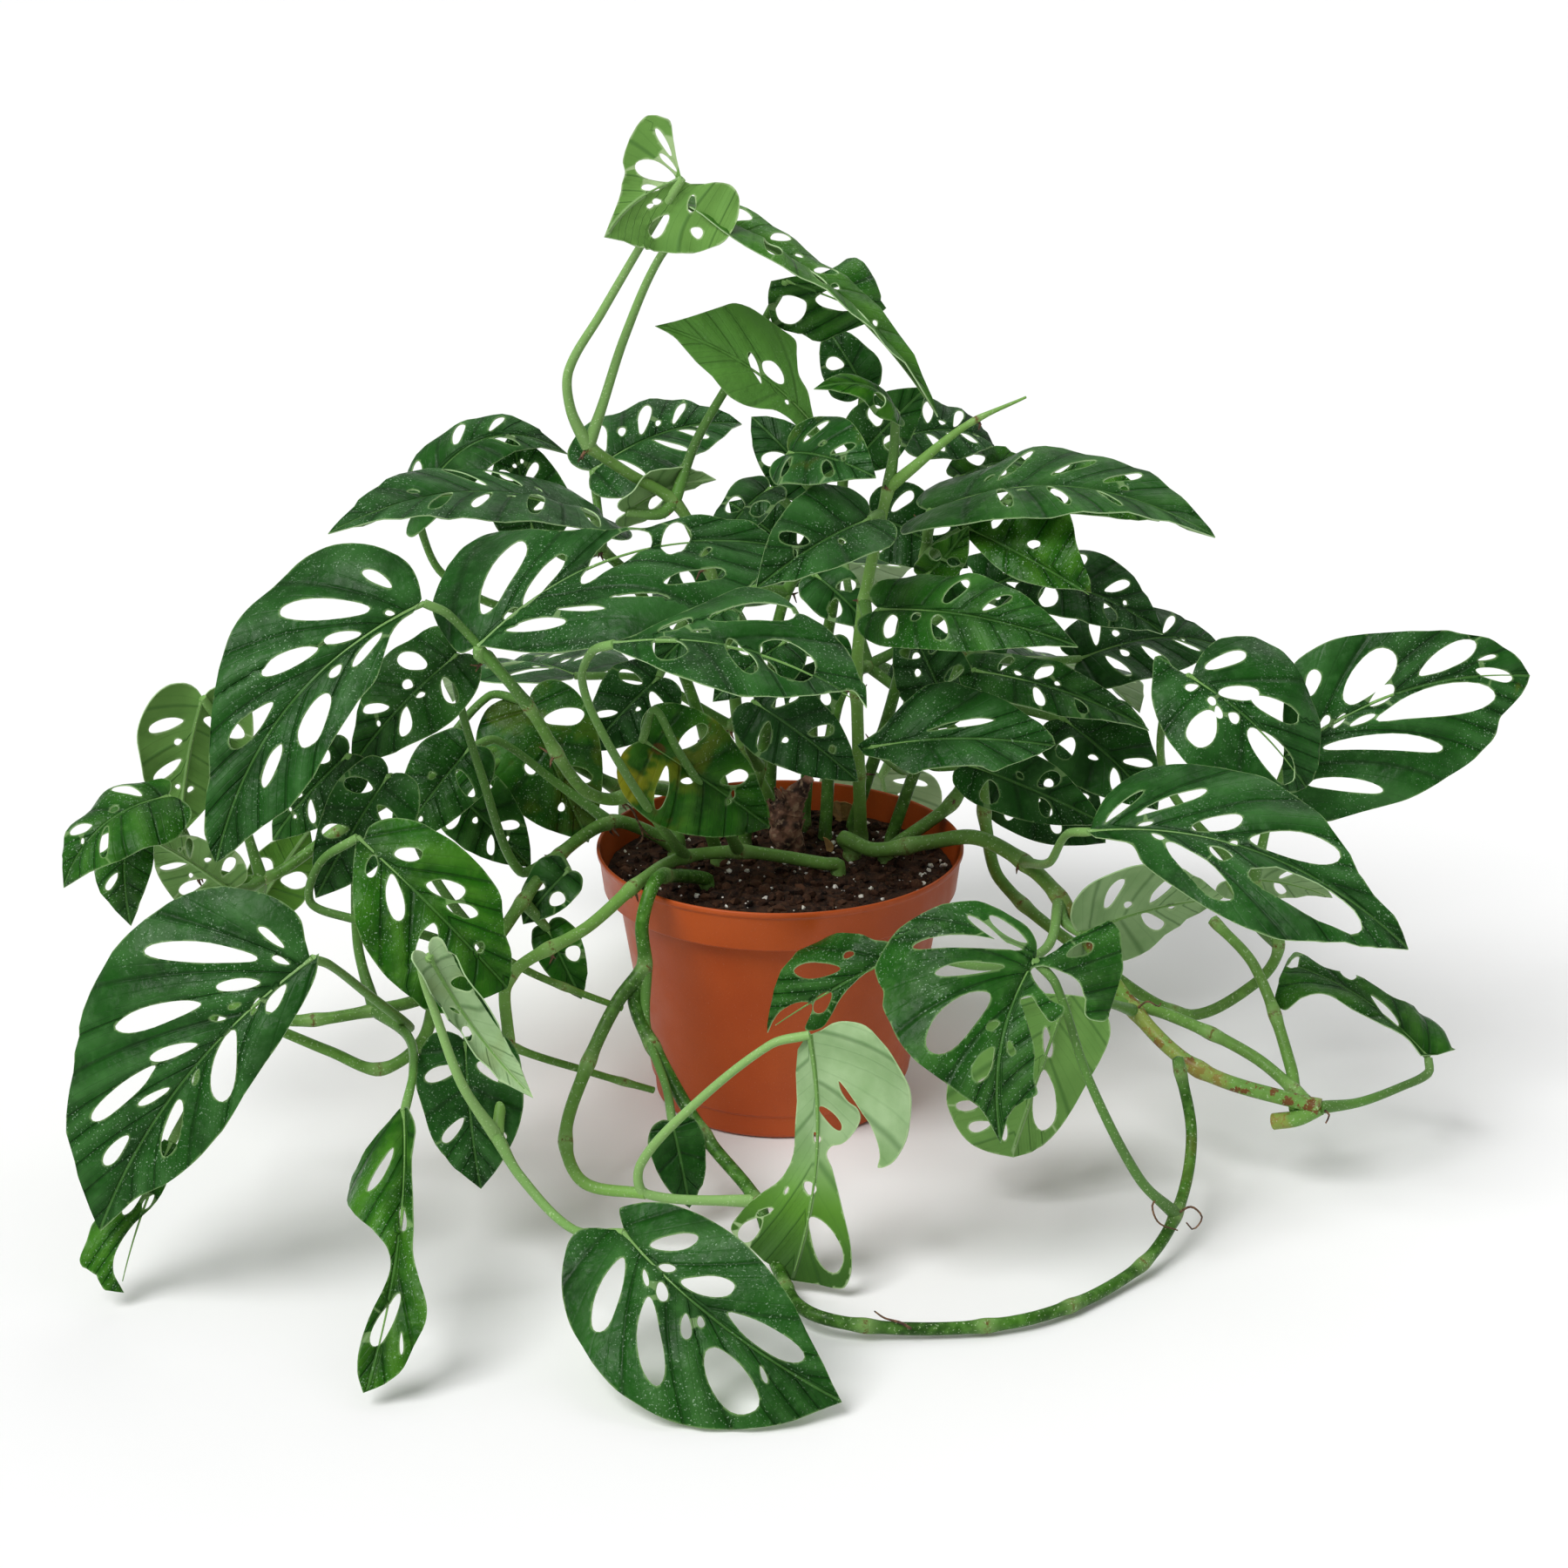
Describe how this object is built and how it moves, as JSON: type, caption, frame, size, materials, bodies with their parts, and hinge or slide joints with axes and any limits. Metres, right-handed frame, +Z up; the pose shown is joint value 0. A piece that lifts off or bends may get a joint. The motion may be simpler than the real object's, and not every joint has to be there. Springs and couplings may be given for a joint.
{
  "type": "potted climbing plant",
  "caption": "Leafy climbing plant with holed leaves and trailing stems in a round plastic nursery pot of soil.",
  "frame": {"origin": "on the pot's axis, at the flat underside that the pot stands on", "axes": "+Z up along the pot's axis; -Y towards the front of the plant; +X to the right seen from the front"},
  "size_m": [0.5867, 0.4948, 0.411],
  "materials": {
    "terracotta_plastic": "satin",
    "potting_mix": "matte, crumbly",
    "dry_husk": "matte",
    "vine_green": "soft satin leaf"
  },
  "bodies": {
    "root": {"pot": "terracotta_plastic", "soil": "potting_mix", "dry_stump": "dry_husk", "vine_front_left": "vine_green", "vine_front_loop": "vine_green", "vine_right": "vine_green", "vine_far_right": "vine_green", "vine_left_high": "vine_green", "vine_left_low": "vine_green", "vine_far_left": "vine_green", "vine_top": "vine_green", "vine_spike": "vine_green", "vine_core": "vine_green", "vine_back_left": "vine_green", "vine_back_right": "vine_green", "vine_crown": "vine_green", "vine_left_back": "vine_green", "vine_right_high": "vine_green", "vine_right_mid": "vine_green"}
  },
  "joints": []
}
